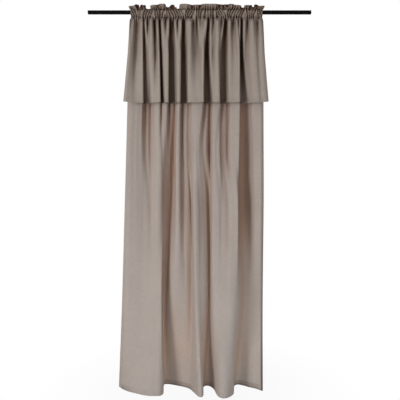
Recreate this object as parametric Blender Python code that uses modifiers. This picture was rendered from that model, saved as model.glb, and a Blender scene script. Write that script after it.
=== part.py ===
"""A rod-pocket curtain with an attached valance, hanging gathered on a round rod.

Two pieces of cloth are sewn together along their tops. Two rows of stitching, one above
the rod and one below it, close the pocket that the rod runs through, and the cloth above
the upper row stands up as a frill. The valance hangs in front and the long panel behind.

Metres, +Z up. The origin is on the rod's axis, half way along it. The room side, where
the valance hangs, is towards -Y. "Forward" below means towards -Y.
"""

import math

import bmesh
import bpy
from mathutils import Vector

# The rod and its end caps.
ROD_DIAMETER = 0.025
ROD_LENGTH = 1.374
ROD_WALL = 0.0010
CAP_FLANGE = 0.003
CAP_BEVEL = 0.0006
CAP_SPIGOT = 0.018
CAP_LEAD_IN = 0.005
CAP_TAPER = 0.0015
CAP_CLEARANCE = 0.0003
ROD_SIDES = 24

# The cloth.
CLOTH = 0.0008
HEM_LAYERS = 2.0
SIDE_HEM = 0.020
HEM = 0.030
HEM_STEP = 0.002
SEAM_GAP = 0.0007
SEAT_GAP = 0.0003

# The heading. The two rows of stitches are measured from the cloth that wraps the rod.
STITCHES_ABOVE = 0.007
STITCHES_BELOW = 0.022
FRILL = 0.029
FRILL_SPREAD = 0.010
FRILL_OPENING = 0.004
GATHERED_LEFT = -0.437
GATHERED_WIDTH = 0.826
GATHERS = 22
STEPS_PER_GATHER = 4
POCKET_BULGE = 0.009
SEAM_WAVE = 0.005
FRILL_WAVE = 0.009
FRILL_DIP = 0.006
DIPS_PER_GATHER = 2.3

# How far below the rod's axis each piece ends.
VALANCE_DROP = 0.573
PANEL_DROP = 2.349

# Where the folds stand at each height: the left side, the width, how far forward the
# backmost cloth lies and how deep the folds are from there.
VALANCE_HEM_LEFT = -0.468
VALANCE_HEM_WIDTH = 0.894
VALANCE_HEM_BACK = 0.008
VALANCE_HEM_DEPTH = 0.056
UPPER_LEFT = -0.465
UPPER_WIDTH = 0.858
UPPER_BACK = -0.040
UPPER_DEPTH = 0.086
LOWER_LEFT = -0.486
LOWER_WIDTH = 0.871
LOWER_BACK = -0.058
LOWER_DEPTH = 0.116
PANEL_HEM_LEFT = -0.509
PANEL_HEM_WIDTH = 0.900
PANEL_HEM_BACK = -0.068
PANEL_HEM_DEPTH = 0.165

# The clear space between the valance and the panel, at the valance's hem, and how far in
# and back the panel's edges are tucked there.
NEST_GAP = 0.009
PANEL_TUCK = 0.028
TUCK_BACK = 0.012
TUCK_SHARE = 0.14

# How the gathers turn into folds on the way down the valance: how soon they have their
# depth, how late their width, and how much of the drop the panel takes to clear it.
OPENING_RATE = 5
SPREADING_RATE = 1.3
CLEARING_SHARE = 0.25

# The shares of the valance's drop that have a row of faces above its hem, and the shares of
# the way from its hem to the panel's hem that the two sections between are at.
VALANCE_SHARES = (0.0, 0.06, 0.17, 0.38, 0.66)
UPPER_SHARE = 0.335
LOWER_SHARE = 0.685

# The least share of a gap that a mitred corner may be divided by.
MITRE_LIMIT = 0.6

# Each section from above, from left to right: (share of the width, share of the depth).
# A point to the left of the one before it is cloth that a fold hides.
VALANCE_HEM_FOLDS = (
    (0.000, 0.25), (0.030, 0.58), (0.075, 0.86), (0.118, 0.95), (0.135, 0.75),
    (0.134, 0.30), (0.148, 0.05), (0.168, 0.20),
    (0.180, 0.60), (0.205, 0.92), (0.240, 0.93), (0.256, 0.65), (0.257, 0.12),
    (0.268, 0.10), (0.273, 0.60), (0.288, 0.86), (0.304, 0.78),
    (0.311, 0.30), (0.330, 0.00), (0.352, 0.12), (0.361, 0.62),
    (0.376, 0.82), (0.389, 0.60), (0.393, 0.15), (0.412, 0.00), (0.432, 0.25),
    (0.446, 0.68), (0.480, 0.96), (0.530, 1.00), (0.553, 0.78),
    (0.550, 0.25), (0.566, 0.00), (0.585, 0.25),
    (0.598, 0.74), (0.630, 0.92), (0.655, 0.82), (0.663, 0.30), (0.682, 0.02),
    (0.700, 0.20), (0.712, 0.66), (0.745, 0.96), (0.785, 0.92), (0.799, 0.60),
    (0.798, 0.15), (0.815, 0.00), (0.830, 0.35),
    (0.850, 0.78), (0.900, 0.96), (0.945, 0.86), (0.975, 0.55), (1.000, 0.20),
)
UPPER_FOLDS = (
    (0.000, 0.30), (0.030, 0.56), (0.080, 0.86), (0.125, 0.83),
    (0.155, 0.66), (0.185, 0.77), (0.230, 0.98), (0.261, 0.88), (0.258, 0.50),
    (0.260, 0.14), (0.292, 0.02), (0.327, 0.09), (0.346, 0.28),
    (0.364, 0.66), (0.387, 0.80), (0.408, 0.68), (0.424, 0.40),
    (0.450, 0.36), (0.478, 0.60), (0.503, 0.88), (0.537, 0.97), (0.555, 0.84),
    (0.567, 0.50), (0.590, 0.20), (0.616, 0.07), (0.624, 0.36),
    (0.638, 0.76), (0.665, 0.92), (0.693, 0.86), (0.723, 0.68), (0.752, 0.86),
    (0.787, 0.98), (0.811, 0.86), (0.810, 0.45), (0.822, 0.05),
    (0.870, 0.00), (0.908, 0.16), (0.930, 0.42), (0.950, 0.65), (0.978, 0.72),
    (1.000, 0.60),
)
LOWER_FOLDS = (
    (0.000, 0.26), (0.031, 0.53), (0.102, 0.76), (0.166, 0.83),
    (0.226, 0.93), (0.275, 0.95), (0.296, 0.80), (0.287, 0.44), (0.285, 0.12),
    (0.299, 0.00), (0.329, 0.05), (0.360, 0.19), (0.418, 0.31),
    (0.475, 0.40), (0.504, 0.55), (0.522, 0.85), (0.543, 0.98), (0.564, 0.93),
    (0.575, 0.62), (0.597, 0.33), (0.627, 0.14), (0.637, 0.29),
    (0.645, 0.64), (0.670, 0.91), (0.712, 1.00), (0.755, 0.98), (0.791, 0.91),
    (0.813, 0.72), (0.831, 0.38), (0.865, 0.12), (0.908, 0.10),
    (0.935, 0.24), (0.962, 0.43), (1.000, 0.53),
)
PANEL_HEM_FOLDS = (
    (0.000, 0.18), (0.072, 0.48), (0.147, 0.68), (0.218, 0.81),
    (0.286, 0.82), (0.317, 0.65), (0.301, 0.38), (0.297, 0.11),
    (0.312, 0.00), (0.413, 0.13), (0.499, 0.34), (0.534, 0.68), (0.561, 0.87),
    (0.584, 0.85), (0.592, 0.50), (0.589, 0.14), (0.631, 0.20),
    (0.666, 0.36), (0.682, 0.76), (0.701, 0.94), (0.724, 1.00), (0.756, 0.90),
    (0.791, 0.72), (0.803, 0.50), (0.809, 0.07), (0.870, 0.13),
    (0.937, 0.30), (1.000, 0.52),
)

# Colours as linear red, green, blue.
TAUPE = (0.30, 0.255, 0.215, 1.0)
BLACK = (0.010, 0.010, 0.011, 1.0)

ROD_RADIUS = ROD_DIAMETER / 2
# The corners of the eight-sided wrap that clears the rod all round.
WRAP_RADIUS = (ROD_RADIUS + CLOTH / 2 + SEAT_GAP) / math.cos(math.pi / 8)
UPPER_STITCHES = WRAP_RADIUS + STITCHES_ABOVE
LOWER_STITCHES = -WRAP_RADIUS - STITCHES_BELOW
# How far apart the middles of the two cloths lie where they are sewn.
SEWN_APART = CLOTH + SEAM_GAP


def material(name, colour, roughness, metallic):
    made = bpy.data.materials.new(name)
    made.use_nodes = True
    shader = made.node_tree.nodes["Principled BSDF"]
    shader.inputs["Base Color"].default_value = colour
    shader.inputs["Roughness"].default_value = roughness
    shader.inputs["Metallic"].default_value = metallic
    return made


def between(before, start, end, after, t):
    """A point from start to end on the smooth curve through all four points."""
    leave, arrive = (end - before) / 2, (after - start) / 2
    return (
        start * (2 * t**3 - 3 * t**2 + 1)
        + leave * (t**3 - 2 * t**2 + t)
        + end * (3 * t**2 - 2 * t**3)
        + arrive * (t**3 - t**2)
    )


def curve_through(points, steps=12):
    """A smooth open line through 2D points, as many short straight steps."""
    ends = [points[0] * 2 - points[1], *points, points[-1] * 2 - points[-2]]
    line = [points[0]]
    for four in zip(ends, ends[1:], ends[2:], ends[3:]):
        line += [between(*four, step / steps) for step in range(1, steps + 1)]
    return line


def spaced(line, shares):
    """The points of a line at these shares of its length."""
    along = [0.0]
    for start, end in zip(line, line[1:]):
        along.append(along[-1] + (end - start).length)
    found, i = [], 0
    for share in shares:
        wanted = share * along[-1]
        while i < len(line) - 2 and along[i + 1] < wanted:
            i += 1
        t = (wanted - along[i]) / (along[i + 1] - along[i])
        found.append(line[i].lerp(line[i + 1], t))
    return found


def section(folds, left, width, back, depth):
    """A section of hanging cloth from above, as (across, forward) at each column."""
    points = [Vector((left + a * width, back + f * depth)) for a, f in folds]
    return spaced(curve_through(points), COLUMN_SHARES)


def behind(line, gap):
    """The line moved back by a gap that is the same all along it, mitred at each corner."""
    moved = []
    for i, point in enumerate(line):
        before = (point - line[max(i - 1, 0)]).normalized()
        after = (line[min(i + 1, len(line) - 1)] - point).normalized()
        if i == 0:
            before = after
        if i == len(line) - 1:
            after = before
        along = (before + after).normalized()
        mitre = gap / max(along.dot(before), MITRE_LIMIT)
        moved.append(point - Vector((-along.y, along.x)) * mitre)
    return moved


def column_shares():
    """Shares of the flat width, with a column each side of the step at each side hem. The
    flat width is the length of the panel's hem."""
    ends = [Vector((PANEL_HEM_WIDTH * a, PANEL_HEM_DEPTH * f)) for a, f in PANEL_HEM_FOLDS]
    hem_line = curve_through(ends)
    flat_width = sum((end - start).length for start, end in zip(hem_line, hem_line[1:]))
    inner = SIDE_HEM / flat_width
    step = HEM_STEP / flat_width
    count = GATHERS * STEPS_PER_GATHER
    middle = [i / count for i in range(count + 1)]
    middle = [share for share in middle if inner + 2 * step < share < 1 - inner - 2 * step]
    return [0.0, inner, inner + step, *middle, 1 - inner - step, 1 - inner, 1.0]


COLUMN_SHARES = column_shares()


def wave(share):
    """The gathers that the rod pocket holds the cloth in, from -1 to 1."""
    return math.sin(2 * math.pi * GATHERS * share)


def sewn_line(swing, spread, forward):
    """A line across the gathered heading, as (across, forward)."""
    left, width = GATHERED_LEFT - spread, GATHERED_WIDTH + 2 * spread
    return [
        Vector((left + width * share, forward + swing * wave(share))) for share in COLUMN_SHARES
    ]


def row(line, z):
    return [(point, z) for point in line]


def heading_rows(side):
    """The frill and the pocket of one cloth, from the top down. side is 1 in front of the
    rod and -1 behind it."""
    rows = []
    frill = []
    line = sewn_line(FRILL_WAVE, FRILL_SPREAD, side * (SEWN_APART + FRILL_OPENING) / 2)
    for point, share in zip(line, COLUMN_SHARES):
        dip = FRILL_DIP * (1 - wave(DIPS_PER_GATHER * share)) / 2
        frill.append((point, UPPER_STITCHES + FRILL - dip))
    rows = [frill, row(sewn_line(SEAM_WAVE, 0.0, side * SEWN_APART / 2), UPPER_STITCHES)]
    for angle in (math.pi / 4, 0.0, -math.pi / 4):
        line = sewn_line(side * POCKET_BULGE / 2, 0.0, POCKET_BULGE / 2)
        clear = WRAP_RADIUS * math.cos(angle)
        wrap = [Vector((point.x, side * (clear + point.y))) for point in line]
        rows.append(row(wrap, WRAP_RADIUS * math.sin(angle)))
    return rows


def valance_line(share_down):
    """The valance's section between the pocket and its hem. The folds open out quickly
    below the stitching, and the small gathers die away."""
    seam = sewn_line(SEAM_WAVE, 0.0, SEWN_APART / 2)
    hem = section(
        VALANCE_HEM_FOLDS, VALANCE_HEM_LEFT, VALANCE_HEM_WIDTH, VALANCE_HEM_BACK, VALANCE_HEM_DEPTH
    )
    opened = 1 - (1 - share_down) ** OPENING_RATE
    spread = share_down**SPREADING_RATE
    return [
        Vector((a.x + (b.x - a.x) * spread, a.y + (b.y - a.y) * opened))
        for a, b in zip(seam, hem)
    ]


def valance_height(share_down):
    return LOWER_STITCHES - share_down * (VALANCE_DROP + LOWER_STITCHES)


def panel_line(share_down):
    """The panel's section behind the valance. It follows the valance's folds, and its
    edges are tucked in and back."""
    cleared = min(1.0, share_down / CLEARING_SHARE)
    line = behind(valance_line(share_down), SEWN_APART + (NEST_GAP - SEWN_APART) * cleared)
    tucked = []
    for point, share in zip(line, COLUMN_SHARES):
        left = max(0.0, 1 - share / TUCK_SHARE) ** 2
        right = max(0.0, 1 - (1 - share) / TUCK_SHARE) ** 2
        across = PANEL_TUCK * (left - right) * share_down**SPREADING_RATE
        back = TUCK_BACK * (left + right) * share_down
        tucked.append(Vector((point.x + across, point.y - back)))
    return tucked


def hem_shares(drop):
    """The shares of a drop at which a hem's step starts, ends, and the cloth ends."""
    return (1 - (HEM + HEM_STEP) / drop, 1 - HEM / drop, 1.0)


def valance_rows():
    shares = VALANCE_SHARES + hem_shares(VALANCE_DROP + LOWER_STITCHES)
    return heading_rows(1) + [row(valance_line(s), valance_height(s)) for s in shares]


def panel_rows():
    rows = heading_rows(-1)
    rows += [row(panel_line(s), valance_height(s)) for s in (*VALANCE_SHARES, 1.0)]
    sections = [
        [point for point, _ in rows[-2]],
        [point for point, _ in rows[-1]],
        section(UPPER_FOLDS, UPPER_LEFT, UPPER_WIDTH, UPPER_BACK, UPPER_DEPTH),
        section(LOWER_FOLDS, LOWER_LEFT, LOWER_WIDTH, LOWER_BACK, LOWER_DEPTH),
        section(
            PANEL_HEM_FOLDS, PANEL_HEM_LEFT, PANEL_HEM_WIDTH, PANEL_HEM_BACK, PANEL_HEM_DEPTH
        ),
    ]
    sections.append([b * 2 - a for a, b in zip(sections[-2], sections[-1])])
    free = PANEL_DROP - VALANCE_DROP
    stops = (0.0, UPPER_SHARE, LOWER_SHARE, 1.0)
    shares = (UPPER_SHARE / 2, UPPER_SHARE, LOWER_SHARE, *hem_shares(free))
    for share in shares:
        k = sum(stop <= share for stop in stops[1:-1])
        t = (share - stops[k]) / (stops[k + 1] - stops[k])
        line = [between(*four, t) for four in zip(*sections[k : k + 4])]
        rows.append(row(line, -VALANCE_DROP - share * free))
    return rows


def cloth(name, rows, drop, look):
    """A cloth as a loft through its rows, thickened, with doubled cloth at the hems."""
    mesh = bpy.data.meshes.new(name)
    shape = bmesh.new()
    grid = [
        [shape.verts.new((point.x, -point.y, z)) for point, z in line] for line in rows
    ]
    for upper, lower in zip(grid, grid[1:]):
        for a, b, c, d in zip(upper, upper[1:], lower[1:], lower):
            shape.faces.new((a, d, c, b))
    shape.to_mesh(mesh)
    shape.free()
    made = bpy.data.objects.new(name, mesh)
    CURTAIN.objects.link(made)
    hem = made.vertex_groups.new(name="hem")
    columns = len(COLUMN_SHARES)
    for i, vertex in enumerate(mesh.vertices):
        column = i % columns
        beside = column < 2 or column >= columns - 2
        hanging = vertex.co.z < LOWER_STITCHES - HEM_STEP
        if vertex.co.z < HEM - drop + HEM_STEP / 2 or (beside and hanging):
            hem.add([i], 1.0, "REPLACE")
    solid = made.modifiers.new("thickness", "SOLIDIFY")
    solid.thickness = CLOTH * HEM_LAYERS
    solid.offset = 0.0
    solid.use_even_offset = True
    solid.vertex_group = hem.name
    solid.thickness_vertex_group = 1 / HEM_LAYERS
    mesh.shade_smooth()
    mesh.materials.append(look)
    return made


def rod(look):
    """The rod, a tube along X."""
    outline = bpy.data.curves.new("curtain_rod", "CURVE")
    outline.dimensions = "2D"
    outline.fill_mode = "BOTH"
    outline.extrude = ROD_LENGTH / 2
    for radius in (ROD_RADIUS, ROD_RADIUS - ROD_WALL):
        ring = outline.splines.new("POLY")
        ring.points.add(ROD_SIDES - 1)
        ring.use_cyclic_u = True
        for i, point in enumerate(ring.points):
            angle = 2 * math.pi * (i + 0.5) / ROD_SIDES
            point.co = (radius * math.cos(angle), radius * math.sin(angle), 0.0, 1.0)
    made = bpy.data.objects.new("curtain_rod", outline)
    made.rotation_euler = (0.0, math.pi / 2, 0.0)
    outline.materials.append(look)
    CURTAIN.objects.link(made)
    return made


def end_cap(name, side, look):
    """A plug in the rod's end, turned: a flange as wide as the rod, and a tapered spigot."""
    spigot = ROD_RADIUS - ROD_WALL - CAP_CLEARANCE
    profile = (
        (0.0, CAP_FLANGE),
        (ROD_RADIUS - CAP_BEVEL, CAP_FLANGE),
        (ROD_RADIUS, CAP_FLANGE - CAP_BEVEL),
        (ROD_RADIUS, CAP_CLEARANCE),
        (spigot, CAP_CLEARANCE),
        (spigot, CAP_LEAD_IN - CAP_SPIGOT),
        (spigot - CAP_TAPER, -CAP_SPIGOT),
        (0.0, -CAP_SPIGOT),
    )
    mesh = bpy.data.meshes.new(name)
    mesh.from_pydata(
        [(radius, 0.0, height) for radius, height in profile],
        [(i, i + 1) for i in range(len(profile) - 1)],
        [],
    )
    made = bpy.data.objects.new(name, mesh)
    turn = made.modifiers.new("turn", "SCREW")
    turn.steps = turn.render_steps = ROD_SIDES
    turn.use_merge_vertices = True
    turn.merge_threshold = 0.00001
    made.location = (side * ROD_LENGTH / 2, 0.0, 0.0)
    made.rotation_euler = (0.0, side * math.pi / 2, 0.0)
    mesh.materials.append(look)
    CURTAIN.objects.link(made)
    return made


for old in list(bpy.data.objects):
    bpy.data.objects.remove(old)
CURTAIN = bpy.data.collections.new("curtain")
bpy.context.scene.collection.children.link(CURTAIN)

fabric = material("taupe cloth", TAUPE, 0.9, 0.0)
enamel = material("black enamel", BLACK, 0.4, 0.0)
plastic = material("black plastic", BLACK, 0.5, 0.0)

cloth("valance", valance_rows(), VALANCE_DROP, fabric)
cloth("main_panel", panel_rows(), PANEL_DROP, fabric)
rod(enamel)
end_cap("rod_end_cap_left", -1, plastic)
end_cap("rod_end_cap_right", 1, plastic)
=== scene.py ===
"""A gathered curtain and its valance on a round rod, dressed in woven cloth.

Metres, +Z up. The origin is on the rod's axis, half way along it, and the room side is
towards -Y. "Forward" below means towards -Y. A line across the cloth is an array with a
row for each column of the cloth: how far across, and how far forward.
"""

import math

import bmesh
import bpy
import numpy as np
from bpy.props import FloatProperty, FloatVectorProperty, IntProperty, PointerProperty
from mathutils import Matrix, Vector


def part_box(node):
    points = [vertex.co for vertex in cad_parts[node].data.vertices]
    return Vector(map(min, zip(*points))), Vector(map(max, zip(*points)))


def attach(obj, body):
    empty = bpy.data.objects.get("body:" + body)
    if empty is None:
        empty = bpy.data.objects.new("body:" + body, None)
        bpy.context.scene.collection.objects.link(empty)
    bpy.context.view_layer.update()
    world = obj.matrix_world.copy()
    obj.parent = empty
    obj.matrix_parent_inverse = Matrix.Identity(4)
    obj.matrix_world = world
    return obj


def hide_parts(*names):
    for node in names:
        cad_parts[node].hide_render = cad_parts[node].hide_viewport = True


bl_info = {
    "name": "Gathered curtain",
    "version": (1, 0, 0),
    "blender": (4, 5, 0),
    "location": "3D View > Sidebar > Curtain",
    "description": "Dresses a rod-pocket curtain and its valance in woven cloth",
    "category": "Object",
}

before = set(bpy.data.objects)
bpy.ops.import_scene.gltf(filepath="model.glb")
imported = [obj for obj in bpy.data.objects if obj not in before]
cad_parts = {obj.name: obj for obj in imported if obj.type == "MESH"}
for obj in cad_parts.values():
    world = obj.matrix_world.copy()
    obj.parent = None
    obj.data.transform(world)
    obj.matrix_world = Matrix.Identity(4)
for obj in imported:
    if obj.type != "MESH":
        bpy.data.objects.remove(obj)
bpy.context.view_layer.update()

# Sections of the hanging cloth, seen from above: (across from the rod's middle, forward of
# its axis), in millimetres, from left to right. Each row of a section ends where the next
# fold begins, and all sections have the same number of rows, so that a fold keeps its cloth
# all the way down. A point to the left of the one before it is cloth that a fold hides.
UNDER_STITCHES = (
    ((-427, 39), (-418, 30), (-405, 29), (-396, 16), (-388, 5), (-379, 8), (-368, 24),
     (-355, 35), (-347, 30), (-345, 15)),
    ((-344, 7), (-335, 30), (-327, 35), (-321, 15), (-312, 25), (-296, 43), (-285, 35),
     (-283, 13), (-276, 8), (-266, 33), (-256, 46), (-250, 37), (-251, 13)),
    ((-248, 4), (-240, 24), (-229, 43), (-217, 37), (-208, 22), (-199, 37), (-187, 44),
     (-183, 19)),
    ((-180, 5), (-172, 19), (-163, 14), (-151, 43), (-142, 39), (-136, 24), (-126, 40),
     (-111, 47), (-108, 22)),
    ((-104, 5), (-94, 12), (-84, 34), (-68, 44), (-51, 44), (-38, 16), (-28, 25), (-17, 14),
     (-7, 37), (6, 29), (17, 29), (29, 43), (44, 48), (49, 19)),
    ((53, 4), (59, 26), (71, 44), (84, 25), (95, 38), (110, 48), (121, 41), (136, 26),
     (146, 44), (152, 19)),
    ((159, 5), (167, 17), (175, 43), (188, 48), (203, 21), (215, 30), (228, 47), (237, 35),
     (246, 48), (253, 26)),
    ((260, 4), (266, 37), (277, 44), (293, 20), (306, 39), (324, 48), (342, 30), (355, 19),
     (366, 37), (381, 33), (392, 23)),
)
VALANCE_MIDDLE = (
    ((-436, 50), (-426, 54), (-408, 42), (-395, 17), (-378, 21), (-361, 30), (-348, 35),
     (-346, 24), (-347, 10)),
    ((-342, 4), (-333, 9), (-321, 22), (-308, 38), (-292, 44), (-280, 37), (-270, 22),
     (-258, 36), (-247, 49), (-242, 36), (-244, 10)),
    ((-242, 4), (-233, 22), (-223, 40), (-210, 48), (-191, 53), (-187, 44), (-189, 20),
     (-188, 8)),
    ((-176, 6), (-161, 12), (-150, 32), (-137, 48), (-120, 53), (-112, 46), (-112, 22),
     (-111, 8)),
    ((-99, 6), (-87, 18), (-76, 42), (-66, 54), (-52, 53), (-37, 37), (-25, 26), (-12, 28),
     (1, 44), (22, 63), (29, 56), (29, 28), (33, 8)),
    ((45, 3), (53, 20), (62, 42), (70, 45), (84, 36), (94, 49), (111, 57), (121, 46),
     (131, 24), (138, 10)),
    ((148, 4), (159, 8), (167, 32), (174, 50), (191, 52), (210, 43), (224, 51), (240, 63),
     (245, 52), (247, 24), (250, 8)),
    ((256, 2), (261, 20), (269, 38), (288, 30), (305, 43), (325, 53), (344, 49), (357, 40),
     (372, 44), (387, 42), (398, 36)),
)
VALANCE_HEM = (
    ((-463, 50), (-451, 62), (-428, 56), (-399, 45), (-369, 40), (-348, 42), (-342, 35),
     (-346, 20), (-348, 8)),
    ((-338, 3), (-325, 5), (-308, 9), (-298, 34), (-287, 44), (-267, 53), (-240, 63),
     (-235, 56), (-239, 34), (-239, 20)),
    ((-233, 15), (-226, 24), (-216, 42), (-204, 55), (-191, 57), (-187, 47), (-191, 24),
     (-191, 9)),
    ((-176, 4), (-156, 10), (-144, 34), (-134, 52), (-123, 57), (-115, 48), (-118, 24),
     (-117, 9)),
    ((-102, 4), (-83, 9), (-75, 32), (-65, 49), (-33, 57), (-3, 57), (22, 69), (27, 60),
     (24, 32), (25, 9)),
    ((41, 3), (59, 7), (73, 28), (82, 48), (100, 59), (121, 59), (127, 47), (125, 22),
     (128, 7)),
    ((144, 3), (160, 10), (171, 34), (185, 51), (209, 57), (241, 69), (247, 58), (246, 30),
     (249, 9)),
    ((263, 3), (277, 8), (292, 18), (311, 34), (337, 50), (361, 55), (377, 50), (397, 55),
     (420, 50)),
)
PANEL_AT_VALANCE_HEM = (
    ((-448, -10), (-439, -1), (-424, -1), (-394, -6), (-370, -11), (-356, -16), (-355, -32)),
    ((-349, -52), (-332, -45), (-319, -50), (-307, -58), (-292, -34), (-276, -9), (-260, -1),
     (-247, -1), (-243, -10), (-243, -20)),
    ((-239, -24), (-234, -16), (-227, -8), (-216, -2), (-203, 1), (-197, -6), (-197, -31),
     (-194, -41)),
    ((-177, -26), (-158, -37), (-153, -41), (-145, -14), (-136, -3), (-124, 0), (-117, -8),
     (-116, -35)),
    ((-110, -42), (-102, -32), (-81, -31), (-65, -38), (-57, -31), (-47, -8), (-24, 0), (3, 1),
     (19, -2), (26, -12), (30, -37)),
    ((49, -29), (70, -45), (75, -39), (79, -8), (87, 3), (106, 1), (123, 0), (132, -8),
     (137, -35)),
    ((157, -30), (178, -38), (186, -33), (191, -8), (208, -2), (228, 1), (246, 5), (251, 0),
     (253, -29), (259, -43)),
    ((283, -48), (303, -46), (314, -35), (325, -10), (341, -2), (362, 1), (383, 0), (397, -6)),
)
PANEL_BELOW_VALANCE = (
    ((-454, -2), (-442, 6), (-418, 3), (-382, -5), (-358, -11), (-348, -24)),
    ((-339, -33), (-323, -35), (-308, -44), (-293, -28), (-274, -10), (-254, 1), (-243, 0)),
    ((-235, -4), (-224, -10), (-210, -21), (-195, -34)),
    ((-177, -46), (-160, -56), (-149, -32), (-145, 6), (-135, 13), (-123, 9), (-115, -10)),
    ((-109, -24), (-99, -14), (-84, -13), (-67, -24), (-56, -22), (-45, -6), (-26, 15),
     (-13, 13), (4, 4), (23, -10)),
    ((37, -12), (51, -20), (66, -38), (71, -22), (78, 12), (89, 23), (105, 22), (122, 21),
     (130, 4)),
    ((142, -2), (158, -5), (176, -15), (183, 8), (194, 20), (218, 26), (240, 33), (245, 26),
     (247, 0), (252, -28)),
    ((274, -42), (293, -44), (310, -34), (324, -12), (336, 8), (360, 14), (383, 14), (396, 6)),
)
PANEL_ABOVE_MIDDLE = (
    ((-462, 2), (-450, 10), (-423, 9), (-381, 1), (-345, -10)),
    ((-321, -18), (-307, -22), (-293, -8), (-269, 4), (-251, 6)),
    ((-235, -2), (-224, -19), (-209, -31), (-192, -43)),
    ((-173, -55), (-162, -44), (-151, -10), (-144, 22), (-129, 28), (-119, 21), (-111, 4),
     (-104, -4)),
    ((-94, -2), (-75, 0), (-61, -5), (-53, -11), (-46, 6), (-39, 28), (-29, 37), (-14, 34),
     (3, 21), (22, 7), (42, -5), (53, -16)),
    ((62, -20), (68, -8), (73, 18), (81, 38), (101, 42), (118, 42), (130, 36), (144, 31)),
    ((159, 26), (171, 24), (180, 38), (192, 45), (213, 50), (231, 56), (236, 48), (238, 14),
     (245, -18)),
    ((270, -44), (295, -50), (310, -42), (323, -20), (336, 6), (353, 20), (377, 26), (395, 16)),
)
PANEL_BELOW_MIDDLE = (
    ((-481, -8), (-454, 7), (-398, 12), (-354, 15)),
    ((-316, 22), (-278, 36)),
    ((-250, 48), (-232, 48), (-231, 20), (-232, -16)),
    ((-224, -38), (-211, -34), (-197, -20), (-178, -8), (-154, 1), (-117, 1)),
    ((-78, -4), (-49, -10), (-37, 22), (-27, 45), (-18, 51), (-5, 47), (8, 38), (21, 30),
     (36, 19), (50, 2)),
    ((60, -16), (68, -8), (73, 20), (84, 42), (106, 51), (130, 57)),
    ((154, 60), (187, 63), (212, 57), (238, 38), (259, 6)),
    ((277, -26), (296, -38), (318, -42), (343, -46), (369, -48), (386, -51), (399, -55)),
)
PANEL_HEM = (
    ((-507, -45), (-483, -20), (-451, 6), (-401, 32), (-362, 49)),
    ((-318, 63), (-275, 68)),
    ((-239, 64), (-223, 46), (-222, 4), (-226, -42)),
    ((-222, -74), (-201, -77), (-168, -68), (-129, -54)),
    ((-91, -38), (-59, -14), (-40, 16), (-21, 50), (-3, 76), (13, 81), (23, 58), (23, 8),
     (25, -40)),
    ((39, -56), (57, -54), (78, -34), (92, -6), (101, 36), (117, 78), (140, 95)),
    ((168, 88), (190, 69), (207, 44), (214, -10), (220, -54)),
    ((238, -70), (263, -66), (304, -43), (351, -19), (390, 8)),
)

# The top edge of the frill from left to right: (across, height above the upper stitches,
# forward of them), in millimetres. The low places are where the frill falls over.
FRILL_TOP = (
    (-441, 20, 2), (-430, 22, 8), (-415, 23, 12), (-404, 27, 10), (-397, 32, 2), (-388, 34, -10),
    (-379, 30, -8), (-374, 16, -2), (-371, 15, -3), (-365, 28, -6), (-359, 33, -11), (-352, 27, -2),
    (-347, 29, -6), (-340, 30, -11), (-334, 22, -6), (-327, 12, -16), (-319, 7, -24),
    (-310, 12, -14), (-305, 22, 0), (-294, 28, 8), (-279, 30, 9), (-264, 30, 2), (-258, 31, -3),
    (-251, 34, 4), (-238, 36, 10), (-223, 36, 11), (-214, 34, 4), (-207, 28, -6), (-202, 18, -14),
    (-195, 15, -4), (-189, 17, 2), (-183, 20, -4), (-176, 30, -10), (-167, 33, -13), (-158, 28, -6),
    (-152, 16, 2), (-145, 16, 3), (-139, 12, -8), (-133, 8, -18), (-127, 22, -6), (-118, 33, 6),
    (-96, 36, 12), (-71, 34, 11), (-56, 31, 4), (-45, 30, -9), (-34, 30, 4), (-19, 31, 9),
    (-6, 31, 3), (4, 32, -9), (15, 34, 4), (34, 36, 11), (59, 36, 10), (84, 36, 11), (105, 35, 8),
    (118, 34, 0), (126, 34, -10), (135, 33, 2), (141, 32, -2), (149, 33, -11), (159, 34, 2),
    (167, 33, -4), (175, 34, -10), (185, 35, 4), (198, 36, 9), (212, 32, 3), (220, 30, 5),
    (235, 29, 8), (251, 27, 2), (261, 24, -6), (269, 15, -16), (277, 26, -4), (285, 29, 4),
    (294, 28, -2), (301, 29, 4), (310, 28, -3), (319, 30, -10), (327, 27, -6), (332, 17, -12),
    (339, 29, -4), (350, 34, -11), (361, 28, -3), (367, 24, 4), (381, 24, 10), (396, 24, 7),
    (403, 22, 2),
)
MILLIMETRE = 0.001
STEPS_PER_POINT = 12

# The heading. The sections and the frill's top are drawn for GATHERED_WIDTH. LEAN is how
# many gathers a crease drifts by between the rows of stitches. FRILL_ROWS are shares of the
# frill's height.
GATHERED_WIDTH = 0.821
GATHERS = 48
LEAN = 1.8
POCKET_ROWS = 18
EVEN_OUT = 6
SEAM_WANDER = 0.0022
FRILL_SWING = 1.25
FRILL_DIP = 0.32
FRILL_ROWS = (1.0, 0.97, 0.9, 0.78, 0.65, 0.52, 0.4, 0.28, 0.17, 0.08)
LOOPS = 0.5
PARTED = 0.0018

# The hanging cloth. The first section lies SETTLED under the lower stitches, and the others
# at shares of the way down. EASE is how early the first two are reached.
SETTLED = 0.045
VALANCE_MIDDLE_AT = 0.43
PANEL_SECTIONS_AT = (0.162, 0.34, 0.69)
EASE = (1.8, 1.3)
RIPPLE = 0.0009
PANEL_BEHIND = 0.030
PANEL_SHALLOWER = 0.62

# Hems, the weave and the thread. HEM_STITCH and HEM_ROWS are shares of a hem's height. The
# rows lie close together at the hem's step and its edge.
HEM_STEP = 0.0012
HEM_STITCH = 0.93
HEM_ROWS = (1.04, 1.0, 0.93, 0.84, 0.62, 0.5, 0.38, 0.12, 0.04, 0.0)
THREAD_PITCH = 0.00075
STITCH_LIFT = 0.0002

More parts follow.
